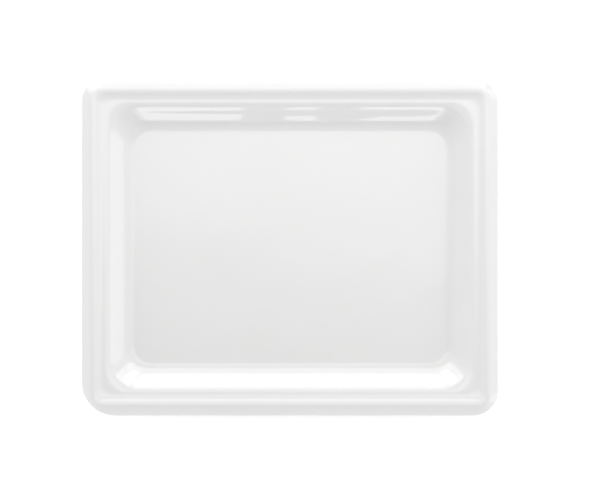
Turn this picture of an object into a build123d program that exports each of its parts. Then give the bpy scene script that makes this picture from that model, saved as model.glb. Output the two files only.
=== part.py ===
"""Shallow rectangular developing tray: a one-piece moulded dish standing on four push-in feet.

Frame: +Z up, +X along the long side, +Y towards the rear. The origin is on the bench under
the middle of the tray. All sizes are in millimetres.

The dish is described by one cross-section, read from its outer edge inwards: a sloping
flange, a rounded crest, a small step down to a level ledge, a sloping wall and a flat floor.
Each corner of that section runs round the tray as a ring, a rectangle with its own corner
radii. The underside is the same section moved in by the moulding's thickness.
"""

import math
import os
from typing import NamedTuple

from build123d import *

# Overall size of the moulding and of the space that it leaves under its floor
LENGTH = 325.0
WIDTH = 263.0
HEIGHT = 22.5
THICKNESS = 3.2
FOOT_STANDOFF = 1.5
BOSS_HEIGHT = 1.5

# Rim: how far in each line lies from the outer edge, and the drops between them
CREST_OUTER_INSET = 7.5
CREST_INNER_INSET = 10.85
STEP_FOOT_INSET = 14.75
WALL_TOP_INSET = 20.9
FLANGE_DROP = 4.4
STEP_DROP = 2.0
SKIRT_DEPTH = 4.8
SKIRT_THICKNESS = 3.0

# Basin
WALL_SLOPE_DEG = 45.0

# Corner radii in plan. The outer edge's differ: front left, front right, rear right, rear left
EDGE_CORNERS = (26.0, 20.0, 19.5, 17.0)
CREST_OUTER_CORNER = 8.5
CREST_INNER_CORNER = 7.5
STEP_FOOT_CORNER = 5.0
WALL_TOP_CORNER = 22.5
FLOOR_CORNER = 18.5

# Blend radii across the section
EDGE_ROUND = 2.0
CREST_ROUND = 6.4
STEP_ROUND = 10.5
WALL_TOP_ROUND = 6.5
FLOOR_ROUND = 13.4
LIP_ROUND = 1.2
INNER_LIP_ROUND = 1.0
CREST_UNDER_ROUND = 2.0

# Feet and the moulded bosses that hold them
FOOT_X = 108.0
FOOT_Y = 77.0
BOSS_RADIUS = 9.0
BOSS_ROOT_ROUND = 1.2
POCKET_RADIUS = 3.5
POCKET_DEPTH = 3.1
PAD_RADIUS = 7.5
PAD_EDGE_ROUND = 0.6
GROOVE_RADIUS = 4.6
GROOVE_WIDTH = 1.2
GROOVE_DEPTH = 0.4
STEM_RADIUS = 3.1
STEM_LENGTH = 2.9
BARB_CLEARANCE = 0.02
BARB_HEIGHT = 0.5
BARB_LEVELS = (0.8, 1.9)

# Heights worked out from the sizes above
BASE_Z = FOOT_STANDOFF + BOSS_HEIGHT
FLOOR_Z = BASE_Z + THICKNESS
EDGE_Z = HEIGHT - FLANGE_DROP
LIP_Z = EDGE_Z - SKIRT_DEPTH
LEDGE_Z = HEIGHT - STEP_DROP
FLOOR_INSET = WALL_TOP_INSET + (LEDGE_Z - FLOOR_Z) / math.tan(math.radians(WALL_SLOPE_DEG))

CLEARANCE_ABOVE = 1.0
ON_RING = 0.01


class Ring(NamedTuple):
    """One line of the section, run round the tray: inset from the outer edge, height, corners."""

    inset: float
    z: float
    corners: tuple


def ring(inset, z, corner):
    corners = corner if isinstance(corner, tuple) else (corner,) * 4
    return Ring(inset, z, corners)


def face_of(line):
    """The rounded rectangle that a ring encloses, at its own height."""
    x = LENGTH / 2 - line.inset
    y = WIDTH / 2 - line.inset
    points = [(-x, -y), (x, -y), (x, y), (-x, y)]
    outline = FilletPolyline(*points, radius=list(line.corners), close=True)
    return Pos(0, 0, line.z) * make_face(outline)


def frusta(*lines):
    """A solid with straight sides from each ring to the next."""
    return loft([face_of(line) for line in lines], ruled=True)


def at_height(line, z):
    return line._replace(z=z)


def offset_section(lines, distance):
    """The rings of the section moved by distance to its lower, outer side."""
    shifted = []
    for first, second in zip(lines, lines[1:]):
        run = second.inset - first.inset
        rise = second.z - first.z
        reach = math.hypot(run, rise)
        across = rise / reach * distance
        down = -run / reach * distance
        shifted.append((first.inset + across, first.z + down, run, rise))
    moved = []
    for line, before, after in zip(lines[1:], shifted, shifted[1:]):
        inset_a, z_a, run_a, rise_a = before
        inset_b, z_b, run_b, rise_b = after
        turn = run_a * rise_b - rise_a * run_b
        along = ((inset_b - inset_a) * rise_b - (z_b - z_a) * run_b) / turn
        inset = inset_a + along * run_a
        corners = tuple(radius + line.inset - inset for radius in line.corners)
        moved.append(Ring(inset, z_a + along * rise_a, corners))
    return moved


def round_ring(solid, line, radius):
    """Rounds the edges of solid that lie on a ring."""
    wire = face_of(line).wires()[0]
    picked = [
        edge
        for edge in solid.edges()
        if all(wire.distance_to(Vertex(edge @ share)) < ON_RING for share in (0.1, 0.5, 0.9))
    ]
    return fillet(picked, radius)


# The upper side of the section, from the outer edge in
EDGE = ring(0.0, EDGE_Z, EDGE_CORNERS)
CREST_OUTER = ring(CREST_OUTER_INSET, HEIGHT, CREST_OUTER_CORNER)
CREST_INNER = ring(CREST_INNER_INSET, HEIGHT, CREST_INNER_CORNER)
STEP_FOOT = ring(STEP_FOOT_INSET, LEDGE_Z, STEP_FOOT_CORNER)
WALL_TOP = ring(WALL_TOP_INSET, LEDGE_Z, WALL_TOP_CORNER)
FLOOR_EDGE = ring(FLOOR_INSET, FLOOR_Z, FLOOR_CORNER)
MID_FLOOR = ring(WIDTH / 2, FLOOR_Z, 0.0)


def make_dish():
    """The moulding without its bosses."""
    section = [EDGE, CREST_OUTER, CREST_INNER, STEP_FOOT, WALL_TOP, FLOOR_EDGE, MID_FLOOR]
    under = offset_section(section, THICKNESS)
    crest_outer_under, crest_inner_under, step_under, wall_under, base = under

    # The flange's underside, carried out to the inner face of the skirt
    flange_slope = FLANGE_DROP / CREST_OUTER_INSET
    skirt_top_z = crest_outer_under.z - flange_slope * (crest_outer_under.inset - SKIRT_THICKNESS)
    skirt_corners = tuple(radius - SKIRT_THICKNESS for radius in EDGE_CORNERS)
    skirt_top = Ring(SKIRT_THICKNESS, skirt_top_z, skirt_corners)
    lip_outer = at_height(EDGE, LIP_Z)
    lip_inner = at_height(skirt_top, LIP_Z)

    rim = frusta(lip_outer, EDGE, CREST_OUTER)
    below_rim = frusta(lip_inner, skirt_top, crest_outer_under)
    ledge_plate = frusta(step_under, crest_inner_under)
    pan = frusta(base, wall_under)
    above_ledge = frusta(STEP_FOOT, CREST_INNER)
    above_ledge += extrude(face_of(CREST_INNER), CLEARANCE_ABOVE)
    basin = frusta(FLOOR_EDGE, WALL_TOP)

    dish = rim - (below_rim - ledge_plate) + pan - above_ledge - basin
    for line, radius in (
        (FLOOR_EDGE, FLOOR_ROUND),
        (WALL_TOP, WALL_TOP_ROUND),
        (STEP_FOOT, STEP_ROUND),
        (CREST_INNER, CREST_ROUND),
        (CREST_OUTER, CREST_ROUND),
        (EDGE, EDGE_ROUND),
        (base, FLOOR_ROUND + THICKNESS),
        (wall_under, WALL_TOP_ROUND - THICKNESS),
        (step_under, STEP_ROUND + INNER_LIP_ROUND),
        (crest_outer_under, CREST_UNDER_ROUND),
        (crest_inner_under, CREST_UNDER_ROUND),
        (skirt_top, INNER_LIP_ROUND),
        (lip_outer, LIP_ROUND),
        (lip_inner, INNER_LIP_ROUND),
    ):
        dish = round_ring(dish, line, radius)
    return dish


def make_tray_body():
    """The dish with a boss under each corner of its floor, bored blind for a foot's stem."""
    body = make_dish()
    sink = THICKNESS / 2
    for x, y in foot_places().values():
        boss = Pos(x, y, FOOT_STANDOFF) * Cylinder(
            BOSS_RADIUS, BOSS_HEIGHT + sink, align=(Align.CENTER, Align.CENTER, Align.MIN)
        )
        body += boss
    roots = [
        edge
        for edge in body.edges().filter_by(GeomType.CIRCLE)
        if abs(edge.radius - BOSS_RADIUS) < ON_RING and abs(edge.center().Z - BASE_Z) < ON_RING
    ]
    body = fillet(roots, BOSS_ROOT_ROUND)
    for x, y in foot_places().values():
        body -= Pos(x, y, FOOT_STANDOFF) * Cylinder(
            POCKET_RADIUS, POCKET_DEPTH, align=(Align.CENTER, Align.CENTER, Align.MIN)
        )
    return body


def foot_places():
    """Each foot's name and its place in plan."""
    return {
        "foot_front_left": (-FOOT_X, -FOOT_Y),
        "foot_front_right": (FOOT_X, -FOOT_Y),
        "foot_rear_right": (FOOT_X, FOOT_Y),
        "foot_rear_left": (-FOOT_X, FOOT_Y),
    }


def make_foot():
    """A round pad with a grip groove below, and above it a stem with two barbs."""
    upright = (Align.CENTER, Align.CENTER, Align.MIN)
    pad = Cylinder(PAD_RADIUS, FOOT_STANDOFF, align=upright)
    pad = fillet(pad.edges().group_by(Axis.Z)[0], PAD_EDGE_ROUND)
    groove = Cylinder(GROOVE_RADIUS + GROOVE_WIDTH / 2, GROOVE_DEPTH, align=upright)
    groove -= Cylinder(GROOVE_RADIUS - GROOVE_WIDTH / 2, GROOVE_DEPTH, align=upright)
    foot = pad - groove
    foot += Pos(0, 0, FOOT_STANDOFF) * Cylinder(STEM_RADIUS, STEM_LENGTH, align=upright)
    foot = chamfer(foot.edges().group_by(Axis.Z)[-1], BARB_HEIGHT / 2)
    barb_radius = POCKET_RADIUS - BARB_CLEARANCE
    for level in BARB_LEVELS:
        foot += Pos(0, 0, FOOT_STANDOFF + level) * Cone(
            barb_radius, STEM_RADIUS, BARB_HEIGHT, align=upright
        )
    return foot


def main():
    os.makedirs("parts", exist_ok=True)
    export_step(make_tray_body(), "parts/tray_body.step")
    foot = make_foot()
    for name, (x, y) in foot_places().items():
        export_step(Pos(x, y, 0) * foot, f"parts/{name}.step")


main()
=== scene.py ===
"""The developing tray's looks: one smooth white gloss moulding on four rubber feet, in soft light.

The moulding is the CAD body's section, lofted again as a clean mesh: each line of the section
runs round the tray as a ring, a rectangle with its own corner radii, and the section is rounded
where it turns. Lengths are in metres, in the CAD's frame.
"""

import math

import bmesh
import bpy
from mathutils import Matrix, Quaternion, Vector, geometry


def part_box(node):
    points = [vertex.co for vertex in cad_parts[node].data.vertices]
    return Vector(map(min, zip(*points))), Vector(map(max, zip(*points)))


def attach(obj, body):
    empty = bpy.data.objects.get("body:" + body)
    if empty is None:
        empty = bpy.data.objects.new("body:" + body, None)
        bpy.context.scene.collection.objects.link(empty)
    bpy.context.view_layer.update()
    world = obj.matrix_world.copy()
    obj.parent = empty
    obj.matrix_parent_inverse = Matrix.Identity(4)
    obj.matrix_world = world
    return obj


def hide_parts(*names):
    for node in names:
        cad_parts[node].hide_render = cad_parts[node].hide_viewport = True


MM = 0.001

# The section, as in the CAD: insets from the outer edge, drops and thicknesses
CREST_OUTER_INSET = 7.5 * MM
CREST_INNER_INSET = 10.85 * MM
STEP_FOOT_INSET = 14.75 * MM
WALL_TOP_INSET = 20.9 * MM
FLANGE_DROP = 4.4 * MM
STEP_DROP = 2.0 * MM
SKIRT_DEPTH = 4.8 * MM
SKIRT_THICKNESS = 3.0 * MM
THICKNESS = 3.2 * MM
WALL_SLOPE = math.radians(45.0)

# Corner radii in plan. The outer edge's differ: front left, front right, rear right, rear left
EDGE_CORNERS = (26.0 * MM, 20.0 * MM, 19.5 * MM, 17.0 * MM)
CREST_OUTER_CORNER = 8.5 * MM
CREST_INNER_CORNER = 7.5 * MM
STEP_FOOT_CORNER = 5.0 * MM
WALL_TOP_CORNER = 22.5 * MM
FLOOR_CORNER = 18.5 * MM

# Blend radii across the section, and those that the underside has instead
EDGE_ROUND = 2.0 * MM
CREST_ROUND = 6.4 * MM
STEP_ROUND = 10.5 * MM
WALL_TOP_ROUND = 6.5 * MM
FLOOR_ROUND = 13.4 * MM
LIP_ROUND = 1.2 * MM
INNER_LIP_ROUND = 1.0 * MM
CREST_UNDER_ROUND = 2.0 * MM
STEP_UNDER_ROUND = 11.5 * MM
WALL_UNDER_ROUND = 3.3 * MM
BASE_ROUND = 16.6 * MM

# The bosses under the floor, each with a blind pocket for a foot's stem
BOSS_HEIGHT = 1.5 * MM
BOSS_RADIUS = 9.0 * MM
BOSS_ROOT_ROUND = 1.2 * MM
BOSS_EDGE_ROUND = 0.25 * MM
POCKET_RADIUS = 3.5 * MM
POCKET_DEPTH = 3.1 * MM

# How far the moulded wall sinks and swells from a flat slope
WALL_SINK = 0.026 * MM

# The mesh's fineness
WALL_STEPS = 16
CORNER_STEPS = 20
LONG_SIDE_STEPS = 40
SHORT_SIDE_STEPS = 32
BOSS_STEPS = 48
BOSS_ROOT_STEPS = 6
BOSS_EDGE_STEPS = 4
FILL_BORDER = 12.0 * MM
FILL_PITCH = 9.0 * MM

# The south lamps stand in a row on this line
LAMP_Y = -0.795
LAMP_RADIANCE = 2.7


class Ring:
    """One line of the section, run round the tray, with the section's rounding there."""

    def __init__(self, inset, z, corners, rounding=0.0, steps=1):
        self.inset = inset
        self.z = z
        self.corners = corners if isinstance(corners, tuple) else (corners,) * 4
        self.rounding = rounding
        self.steps = steps

    @property
    def spot(self):
        return Vector((self.inset, self.z))

    def towards(self, other, share):
        """The ring a share of the way from this one to another."""
        spot = self.spot.lerp(other.spot, share)
        corners = tuple(a + (b - a) * share for a, b in zip(self.corners, other.corners))
        return Ring(spot.x, spot.y, corners)

    def points(self, half_x, half_y):
        x = half_x - self.inset
        y = half_y - self.inset
        signs = ((-1, -1), (1, -1), (1, 1), (-1, 1))
        sides = (LONG_SIDE_STEPS, SHORT_SIDE_STEPS, LONG_SIDE_STEPS, SHORT_SIDE_STEPS)
        arcs = []
        for number, (sign_x, sign_y) in enumerate(signs):
            radius = self.corners[number]
            centre = Vector((sign_x * (x - radius), sign_y * (y - radius), self.z))
            start = math.pi + number * math.pi / 2
            turns = [start + math.pi / 2 * i / CORNER_STEPS for i in range(CORNER_STEPS + 1)]
            arcs.append([centre + radius * Vector((math.cos(t), math.sin(t), 0)) for t in turns])
        loop = []
        for number, arc in enumerate(arcs):
            loop += arc
            after = arcs[(number + 1) % 4][0]
            steps = sides[number]
            loop += [arc[-1].lerp(after, i / steps) for i in range(1, steps)]
        return loop


def offset_section(rings, distance):
    """The section's inner lines moved by distance to its lower, outer side."""
    shifted = []
    for first, second in zip(rings, rings[1:]):
        run, rise = second.spot - first.spot
        reach = math.hypot(run, rise)
        start = (first.inset + rise / reach * distance, first.z - run / reach * distance)
        shifted.append((start, (run, rise)))
    moved = []
    for ring, before, after in zip(rings[1:], shifted, shifted[1:]):
        (inset_a, z_a), (run_a, rise_a) = before
        (inset_b, z_b), (run_b, rise_b) = after
        turn = run_a * rise_b - rise_a * run_b
        along = ((inset_b - inset_a) * rise_b - (z_b - z_a) * run_b) / turn
        inset = inset_a + along * run_a
        corners = tuple(radius + ring.inset - inset for radius in ring.corners)
        moved.append(Ring(inset, z_a + along * rise_a, corners))
    return moved


def rounded(before, corner, after):
    """The rings across the arc that rounds one turn of the section."""
    back = before.spot - corner.spot
    on = after.spot - corner.spot
    half = back.angle(on) / 2
    reach = corner.rounding / math.tan(half)
    start = corner.towards(before, reach / back.length)
    end = corner.towards(after, reach / on.length)
    inwards = (back.normalized() + on.normalized()).normalized()
    middle = corner.spot + inwards * corner.rounding / math.sin(half)
    first = (start.spot - middle).normalized()
    last = (end.spot - middle).normalized()
    rings = []
    for i in range(corner.steps + 1):
        share = i / corner.steps
        spot = middle + corner.rounding * first.slerp(last, share)
        blend = start.towards(corner, share).towards(corner.towards(end, share), share)
        rings.append(Ring(spot.x, spot.y, blend.corners))
    return rings


def sunk_wall(top, foot):
    """The rings between two ends of a wall that is very slightly steeper in its upper middle."""
    along = foot.spot - top.spot
    outwards = Vector((-along.y, along.x)).normalized()
    rings = []
    for i in range(1, WALL_STEPS):
        share = i / WALL_STEPS
        ring = top.towards(foot, share)
        sink = WALL_SINK * math.sin(2 * math.pi * (share + share * (1 - share) / 2))
        spot = ring.spot + sink * outwards
        rings.append(Ring(spot.x, spot.y, ring.corners))
    return rings


def moulding_rings(edge_z, crest_z, ledge_z, floor_z):
    """The rings in order, from the floor's upper side round the rim to its underside."""
    floor_inset = WALL_TOP_INSET + (ledge_z - floor_z) / math.tan(WALL_SLOPE)
    edge = Ring(0.0, edge_z, EDGE_CORNERS, EDGE_ROUND, 12)
    crest_outer = Ring(CREST_OUTER_INSET, crest_z, CREST_OUTER_CORNER, CREST_ROUND, 10)
    crest_inner = Ring(CREST_INNER_INSET, crest_z, CREST_INNER_CORNER, CREST_ROUND, 10)
    step_foot = Ring(STEP_FOOT_INSET, ledge_z, STEP_FOOT_CORNER, STEP_ROUND, 12)
    wall_top = Ring(WALL_TOP_INSET, ledge_z, WALL_TOP_CORNER, WALL_TOP_ROUND, 20)
    floor_edge = Ring(floor_inset, floor_z, FLOOR_CORNER, FLOOR_ROUND, 28)
    mid_floor = Ring(floor_inset + FILL_BORDER, floor_z, FLOOR_CORNER - FILL_BORDER)

    section = [edge, crest_outer, crest_inner, step_foot, wall_top, floor_edge, mid_floor]
    under = offset_section(section, THICKNESS)
    blends = (
        (CREST_UNDER_ROUND, 5),
        (CREST_UNDER_ROUND, 5),
        (STEP_UNDER_ROUND, 8),
        (WALL_UNDER_ROUND, 6),
        (BASE_ROUND, 16),
    )
    for ring, (rounding, steps) in zip(under, blends):
        ring.rounding = rounding
        ring.steps = steps
    crest_under = under[0]
    mid_base = Ring(mid_floor.inset, under[-1].z, mid_floor.corners)

    lip_z = edge_z - SKIRT_DEPTH
    flange_slope = FLANGE_DROP / CREST_OUTER_INSET
    skirt_top_z = crest_under.z - flange_slope * (crest_under.inset - SKIRT_THICKNESS)
    skirt_corners = tuple(radius - SKIRT_THICKNESS for radius in EDGE_CORNERS)
    lip_outer = Ring(0.0, lip_z, EDGE_CORNERS, LIP_ROUND, 6)
    lip_inner = Ring(SKIRT_THICKNESS, lip_z, skirt_corners, INNER_LIP_ROUND, 6)
    skirt_top = Ring(SKIRT_THICKNESS, skirt_top_z, skirt_corners, INNER_LIP_ROUND, 5)
    lines = section[::-1] + [lip_outer, lip_inner, skirt_top] + under + [mid_base]

    rings = [lines[0]]
    for before, line, after in zip(lines, lines[1:], lines[2:]):
        turn = rounded(before, line, after)
        if line is wall_top:
            foot = rings.pop()
            rings += sunk_wall(turn.pop(0), foot)[::-1]
        rings += turn
    return rings + [lines[-1]]


def loft(mesh, loops):
    """Quads from each closed loop of points to the next. Returns the loops' vertices."""
    rows = [[mesh.verts.new(point) for point in loop] for loop in loops]
    for row, after in zip(rows, rows[1:]):
        count = len(row)
        for i in range(count):
            j = (i + 1) % count
            mesh.faces.new((row[i], row[j], after[j], after[i]))
    return rows


def fill(mesh, outline, holes, upward):
    """A level triangulated sheet inside a ring of vertices, less round holes of vertices."""
    z = outline[0].co.z
    borders = [outline] + holes
    known = [vertex for border in borders for vertex in border]
    points = [vertex.co.xy for vertex in known]
    edges = []
    base = 0
    for border in borders:
        count = len(border)
        edges += [(base + i, base + (i + 1) % count) for i in range(count)]
        base += count
    reach_x = max(point.x for point in points) - FILL_PITCH
    reach_y = max(point.y for point in points) - FILL_PITCH
    columns = round(2 * reach_x / FILL_PITCH)
    rows = round(2 * reach_y / FILL_PITCH)
    rounds = []
    for hole in holes:
        middle = sum((vertex.co.xy for vertex in hole), Vector((0, 0))) / len(hole)
        rounds.append((middle, (hole[0].co.xy - middle).length))

    def in_hole(spot, margin):
        return any((spot - middle).length < radius + margin for middle, radius in rounds)

    for i in range(columns + 1):
        for j in range(rows + 1):
            spot = Vector((-reach_x + 2 * reach_x * i / columns, -reach_y + 2 * reach_y * j / rows))
            if not in_hole(spot, FILL_PITCH / 3):
                points.append(spot)
    inside_only = 1
    merge_distance = 1e-7
    sheet = geometry.delaunay_2d_cdt(points, edges, [], inside_only, merge_distance)
    spots, _, triangles, origins, _, _ = sheet
    vertices = []
    for spot, origin in zip(spots, origins):
        old = [index for index in origin if index < len(known)]
        vertices.append(known[old[0]] if old else mesh.verts.new((spot.x, spot.y, z)))
    for triangle in triangles:
        middle = sum((spots[index] for index in triangle), Vector((0, 0))) / 3
        if in_hole(middle, -1e-6):
            continue
        corners = [vertices[index] for index in triangle]
        a, b, c = (vertex.co.xy for vertex in corners)
        if ((b - a).cross(c - a) > 0) != upward:
            corners.reverse()
        mesh.faces.new(corners)


def make_moulding():
    """The tray's body as one closed mesh."""
    low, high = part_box("tray_body")
    half_x = high.x
    half_y = high.y
    boss_z = low.z
    base_z = boss_z + BOSS_HEIGHT
    floor_z = base_z + THICKNESS
    crest_z = high.z
    rings = moulding_rings(crest_z - FLANGE_DROP, crest_z, crest_z - STEP_DROP, floor_z)
    mesh = bmesh.new()
    rows = loft(mesh, [ring.points(half_x, half_y) for ring in rings])

    feet = [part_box(name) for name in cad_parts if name.startswith("foot_")]
    holes = [add_boss(mesh, (low_f + high_f) / 2, base_z, boss_z) for low_f, high_f in feet]
    fill(mesh, rows[0], [], True)
    fill(mesh, rows[-1], holes, False)
    bmesh.ops.recalc_face_normals(mesh, faces=mesh.faces)

    data = bpy.data.meshes.new("tray_moulding")
    mesh.to_mesh(data)
    mesh.free()
    data.shade_smooth()
    moulding = bpy.data.objects.new("tray_moulding", data)
    bpy.context.scene.collection.objects.link(moulding)
    return moulding


def add_boss(mesh, middle, base_z, boss_z):
    """A round boss under the floor with a blind pocket in it. Returns its ring in the base."""
    profile = []
    for i in range(BOSS_ROOT_STEPS + 1):
        turn = math.pi / 2 * i / BOSS_ROOT_STEPS
        radius = BOSS_RADIUS + BOSS_ROOT_ROUND * (1 - math.sin(turn))
        profile.append((radius, base_z - BOSS_ROOT_ROUND * (1 - math.cos(turn))))
    for i in range(BOSS_EDGE_STEPS + 1):
        turn = math.pi / 2 * i / BOSS_EDGE_STEPS
        radius = BOSS_RADIUS - BOSS_EDGE_ROUND * (1 - math.cos(turn))
        profile.append((radius, boss_z + BOSS_EDGE_ROUND * (1 - math.sin(turn))))
    profile += [(POCKET_RADIUS, boss_z), (POCKET_RADIUS, boss_z + POCKET_DEPTH)]
    turns = [2 * math.pi * i / BOSS_STEPS for i in range(BOSS_STEPS)]
    loops = [
        [Vector((middle.x + r * math.cos(t), middle.y + r * math.sin(t), z)) for t in turns]
        for r, z in profile
    ]
    rows = loft(mesh, loops)
    mesh.faces.new(rows[-1])
    return rows[0]


def node_material(name):
    """A new material, with its node tree and its main shader."""
    material = bpy.data.materials.new(name)
    material.use_nodes = True
    tree = material.node_tree
    shader = tree.nodes["Principled BSDF"]
    return material, tree, shader


def add_noise(tree, scale, detail, roughness=0.5):
    """A noise fixed to the piece, about 0.25 to 0.75."""
    place = tree.nodes.new("ShaderNodeTexCoord")
    pattern = tree.nodes.new("ShaderNodeTexNoise")
    pattern.inputs["Scale"].default_value = scale
    pattern.inputs["Detail"].default_value = detail
    pattern.inputs["Roughness"].default_value = roughness
    tree.links.new(place.outputs["Object"], pattern.inputs["Vector"])
    return pattern.outputs["Fac"]


def add_range(tree, value, low, high):
    """A noise brought to the range low to high."""
    node = tree.nodes.new("ShaderNodeMapRange")
    node.inputs["From Min"].default_value = 0.25
    node.inputs["From Max"].default_value = 0.75
    node.inputs["To Min"].default_value = low
    node.inputs["To Max"].default_value = high
    tree.links.new(value, node.inputs["Value"])
    return node.outputs["Result"]


def add_bump(tree, height, distance, strength, under=None):
    """A normal that a height moves, on top of another such normal if there is one."""
    bump = tree.nodes.new("ShaderNodeBump")
    bump.inputs["Distance"].default_value = distance
    bump.inputs["Strength"].default_value = strength
    tree.links.new(height, bump.inputs["Height"])
    if under is not None:
        tree.links.new(under, bump.inputs["Normal"])
    return bump.outputs["Normal"]


def add_colours(tree, value, first, second):
    """A blend from the first colour to the second as value rises."""
    ramp = tree.nodes.new("ShaderNodeValToRGB")
    ramp.color_ramp.elements[0].position = 0.3
    ramp.color_ramp.elements[0].color = (*first, 1)
    ramp.color_ramp.elements[1].position = 0.7
    ramp.color_ramp.elements[1].color = (*second, 1)
    tree.links.new(value, ramp.inputs["Fac"])
    return ramp.outputs["Color"]


def gloss_white():
    """Glossy white moulded plastic: barely uneven colour, slow waves and a faint orange peel."""
    material, tree, shader = node_material("tray_gloss_white")
    cloud = add_noise(tree, 14, 3)
    colour = add_colours(tree, cloud, (0.765, 0.765, 0.762), (0.775, 0.775, 0.772))
    tree.links.new(colour, shader.inputs["Base Color"])
    wear = add_noise(tree, 120, 6, 0.65)
    tree.links.new(add_range(tree, wear, 0.015, 0.03), shader.inputs["Roughness"])
    waves = add_bump(tree, add_noise(tree, 22, 1), 0.0004, 0.35)
    peel = add_bump(tree, add_noise(tree, 420, 2), 0.00002, 0.10, waves)
    tree.links.new(peel, shader.inputs["Normal"])
    shader.inputs["IOR"].default_value = 1.5
    return material


def foot_rubber():
    """Matt grey rubber with a fine grain."""
    material, tree, shader = node_material("foot_grey_rubber")
    cloud = add_noise(tree, 260, 4)
    colour = add_colours(tree, cloud, (0.075, 0.075, 0.077), (0.10, 0.10, 0.102))
    tree.links.new(colour, shader.inputs["Base Color"])
    tree.links.new(add_range(tree, cloud, 0.68, 0.85), shader.inputs["Roughness"])
    grain = add_bump(tree, add_noise(tree, 2600, 3), 0.00003, 0.5)
    tree.links.new(grain, shader.inputs["Normal"])
    return material


def floor_white():
    """Matt white that glows a little, like a table lit from below."""
    material, tree, shader = node_material("floor_white")
    cloud = add_noise(tree, 3, 2)
    colour = add_colours(tree, cloud, (0.93, 0.93, 0.93), (0.94, 0.94, 0.94))
    tree.links.new(colour, shader.inputs["Base Color"])
    shader.inputs["Roughness"].default_value = 0.9
    shader.inputs["Specular IOR Level"].default_value = 0.1
    shader.inputs["Emission Color"].default_value = (1, 1, 1, 1)
    shader.inputs["Emission Strength"].default_value = 0.30
    return material


def make_floor():
    data = bpy.data.meshes.new("floor")
    reach = 3.0
    corners = [(-reach, -reach, 0), (reach, -reach, 0), (reach, reach, 0), (-reach, reach, 0)]
    data.from_pydata(corners, [], [(0, 1, 2, 3)])
    data.materials.append(floor_white())
    floor = bpy.data.objects.new("floor", data)
    bpy.context.scene.collection.objects.link(floor)


def add_panel(name, place, target, width, height, radiance, lean=0.0):
    """A rectangular soft light at place that faces target, turned by lean about that line."""
    light = bpy.data.lights.new(name, "AREA")
    light.shape = "RECTANGLE"
    light.size = width
    light.size_y = height
    light.energy = radiance * math.pi * width * height
    panel = bpy.data.objects.new(name, light)
    panel.location = place
    facing = (Vector(target) - Vector(place)).to_track_quat("-Z", "Y")
    panel.rotation_euler = (facing @ Quaternion((0, 0, 1), lean)).to_euler()
    panel.visible_camera = False
    bpy.context.scene.collection.objects.link(panel)
    return panel


def add_math(tree, operation, first, second):
    """The result of a sum on two values, each a socket or a number."""
    node = tree.nodes.new("ShaderNodeMath")
    node.operation = operation
    for socket, value in zip(node.inputs, (first, second)):
        if isinstance(value, bpy.types.NodeSocket):
            tree.links.new(value, socket)
        else:
            socket.default_value = value
    return node.outputs["Value"]


def add_lobe(tree, direction, facing, sharpness, strength):
    """Light that fades out round one direction of the sky."""
    dot = tree.nodes.new("ShaderNodeVectorMath")
    dot.operation = "DOT_PRODUCT"
    dot.inputs[1].default_value = Vector(facing).normalized()
    tree.links.new(direction, dot.inputs[0])
    ahead = add_math(tree, "MAXIMUM", dot.outputs["Value"], 0.0)
    return add_math(tree, "MULTIPLY", add_math(tree, "POWER", ahead, sharpness), strength)


def add_half_roof(tree, direction, towards, low, high, strength):
    """Light overhead that is brighter on one side of a soft line through the top of the sky."""
    dot = tree.nodes.new("ShaderNodeVectorMath")
    dot.operation = "DOT_PRODUCT"
    dot.inputs[1].default_value = towards
    tree.links.new(direction, dot.inputs[0])
    step = tree.nodes.new("ShaderNodeMapRange")
    step.interpolation_type = "SMOOTHSTEP"
    step.inputs["From Min"].default_value = low
    step.inputs["From Max"].default_value = high
    tree.links.new(dot.outputs["Value"], step.inputs["Value"])
    roof = add_lobe(tree, direction, (0, 0, 1), 8.0, strength)
    return add_math(tree, "MULTIPLY", roof, step.outputs["Result"])


def make_tent():
    """A white light tent: glowing softly all round, and a little brighter overhead to the north."""
    world = bpy.data.worlds.new("tent")
    world.use_nodes = True
    tree = world.node_tree
    direction = tree.nodes.new("ShaderNodeTexCoord").outputs["Generated"]
    glow = add_half_roof(tree, direction, (0.205, 0.979, 0), -0.018, 0.022, 0.45)
    wide = add_half_roof(tree, direction, (0.14, 0.99, 0), -0.12, 0.105, 2.16)
    glow = add_math(tree, "ADD", glow, wide)
    for facing, sharpness, strength in (
        ((1, 0, 0), 1.0, 1.46),
        ((-1, 0, 0), 1.0, 1.28),
        ((0.612, 0.612, 0.5), 14.0, 0.33),
        ((-0.612, 0.612, 0.5), 14.0, 0.85),
        ((0, -0.990, 0.139), 20.0, 2.15),
    ):
        glow = add_math(tree, "ADD", glow, add_lobe(tree, direction, facing, sharpness, strength))
    # The tent's wall itself is plain white, where a low view sees past the floor
    seen = tree.nodes.new("ShaderNodeLightPath").outputs["Is Camera Ray"]
    glow = add_math(tree, "MAXIMUM", glow, seen)
    background = tree.nodes["Background"]
    background.inputs["Color"].default_value = (1, 1, 1, 1)
    tree.links.new(glow, background.inputs["Strength"])
    bpy.context.scene.world = world


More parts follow.
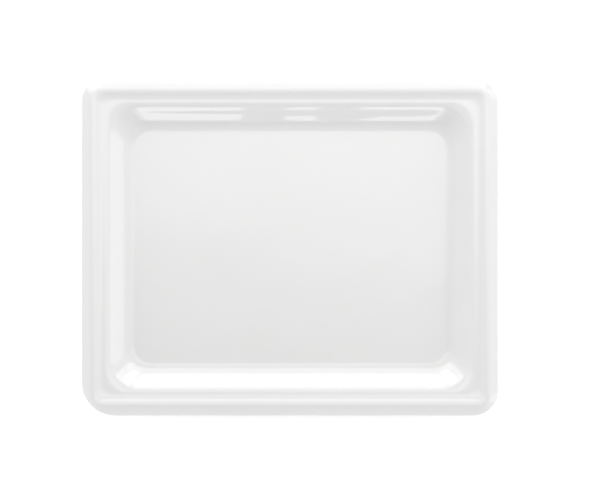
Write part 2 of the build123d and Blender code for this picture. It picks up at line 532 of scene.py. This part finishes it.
def make_light():
    """The tent, two softboxes, and upright panels that show only as reflections in the gloss."""
    make_tent()
    add_panel("softbox_north", (0, 0.42, 0.45), (0, 0, 0), 0.9, 0.3, 0.55)
    add_panel("softbox_north_east", (0.45, 0.25, 0.5), (0, 0, 0), 0.4, 0.4, 0.4)
    strips = [
        add_panel("strip_north", (0, 1.6, 0.22), (0, 0, 0.22), 0.86, 0.42, 5.5),
        add_panel("strip_north_west", (-0.80, 1.6, 0.42), (-0.80, 0, 0.42), 0.74, 0.82, 5.5),
        add_panel("strip_north_east", (0.80, 1.6, 0.42), (0.80, 0, 0.42), 0.74, 0.82, 5.5),
        add_panel("strip_east", (1.2, 0, 0.20), (0, 0, 0.20), 1.6, 0.38, 1.1),
        add_panel("strip_north_upper", (0, 1.6, 0.55), (0, 0, 0.55), 0.86, 0.24, 1.2),
        add_panel("window_north", (0, 0.75, 0.75), (0, 0, 0.75), 2.2, 1.1, 2.6),
    ]
    for left, right, bottom, top, lean_deg in (
        (-0.205, -0.068, 0.067, 0.19, 5.0),
        (-0.006, 0.033, 0.085, 0.24, -5.0),
        (0.092, 0.193, 0.089, 0.24, -5.0),
    ):
        x = (left + right) / 2
        z = (bottom + top) / 2
        width = right - left
        height = top - bottom
        lean = math.radians(lean_deg)
        place = (x, LAMP_Y, z)
        target = (x, 0, z)
        strips.append(add_panel("lamp_south", place, target, width, height, LAMP_RADIANCE, lean))
    for strip in strips:
        strip.visible_diffuse = False


def make_camera():
    """A camera that looks straight down on the tray."""
    camera = bpy.data.cameras.new("camera")
    camera.sensor_width = 36.0
    camera.lens = 106.3
    camera.clip_end = 20
    viewer = bpy.data.objects.new("camera", camera)
    viewer.location = (0.0078, -0.0022, 1.40)
    bpy.context.scene.collection.objects.link(viewer)
    bpy.context.scene.camera = viewer


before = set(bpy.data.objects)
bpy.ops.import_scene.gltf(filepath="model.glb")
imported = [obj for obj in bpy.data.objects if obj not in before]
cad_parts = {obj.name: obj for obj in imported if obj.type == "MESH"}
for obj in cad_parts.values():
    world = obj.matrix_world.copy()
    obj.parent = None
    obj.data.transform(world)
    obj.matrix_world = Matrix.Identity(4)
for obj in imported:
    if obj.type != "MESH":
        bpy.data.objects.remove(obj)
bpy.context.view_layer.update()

tray = make_moulding()
tray.data.materials.append(gloss_white())
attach(tray, "root")
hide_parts("tray_body")

rubber = foot_rubber()
for node_name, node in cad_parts.items():
    if node_name.startswith("foot_"):
        for slot in node.material_slots:
            slot.material = rubber

make_floor()
make_light()
make_camera()
bpy.context.scene.view_settings.view_transform = "Standard"
